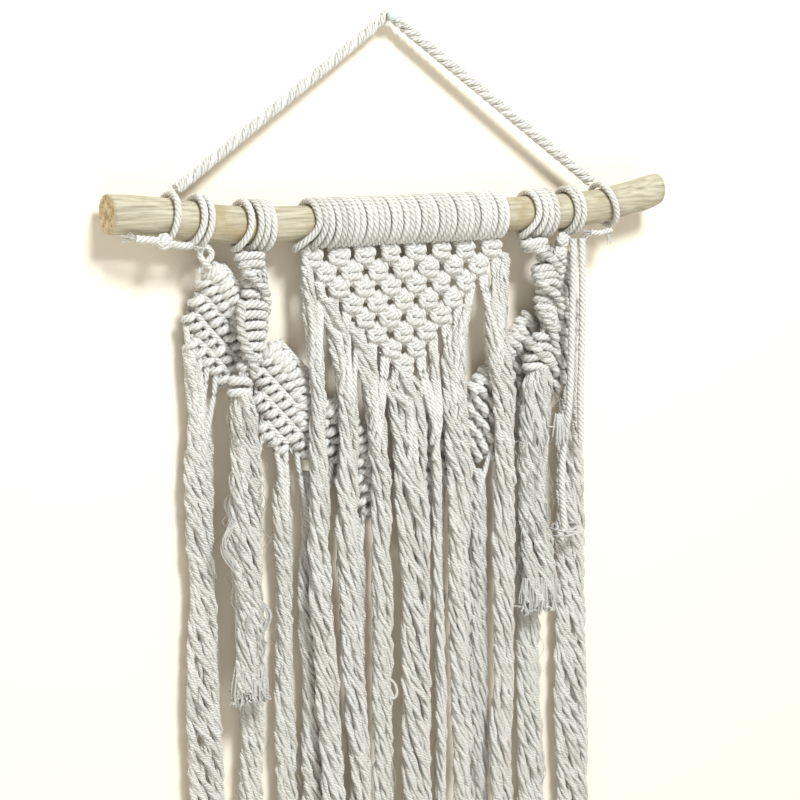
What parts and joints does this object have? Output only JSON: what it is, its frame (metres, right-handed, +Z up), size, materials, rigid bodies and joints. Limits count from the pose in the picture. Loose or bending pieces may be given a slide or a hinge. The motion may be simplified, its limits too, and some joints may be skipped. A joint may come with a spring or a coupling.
{
  "type": "macrame wall hanging on a wooden branch with its wall nail",
  "caption": "Knotted cotton wall hanging: a rope hanger on a nail, a peeled branch with headings, a triangle net over a V of knotted leaves, spiral sinnets with tassels and a long fringe.",
  "frame": {"origin": "where the nail meets the wall", "axes": "+Z up, -Y out of the wall towards the viewer, +X to the viewer's right along the branch"},
  "size_m": [0.3792, 0.0322, 0.6036],
  "materials": {
    "cotton_cord": "matte twisted cotton",
    "peeled_wood": "bare peeled wood",
    "nail_paint": "satin paint"
  },
  "bodies": {
    "root": {"dowel": "peeled_wood", "nail": "nail_paint", "hanger": "cotton_cord", "tie_left": "cotton_cord", "tie_right": "cotton_cord", "heading_left_pair": "cotton_cord", "heading_left_four": "cotton_cord", "heading_centre": "cotton_cord", "heading_right_four": "cotton_cord", "heading_right_pair": "cotton_cord", "net": "cotton_cord", "net_fringe_left": "cotton_cord", "net_fringe_centre": "cotton_cord", "net_fringe_right": "cotton_cord", "leaf_left_outer": "cotton_cord", "leaf_left_inner": "cotton_cord", "leaf_left_centre": "cotton_cord", "leaf_right_centre": "cotton_cord", "leaf_right_inner": "cotton_cord", "leaf_right_outer": "cotton_cord", "leaf_fringe_left": "cotton_cord", "leaf_fringe_right": "cotton_cord", "sinnet_left": "cotton_cord", "sinnet_right": "cotton_cord", "tassel_left": "cotton_cord", "tassel_right": "cotton_cord", "rope_long": "cotton_cord", "rope_short": "cotton_cord"}
  },
  "joints": []
}
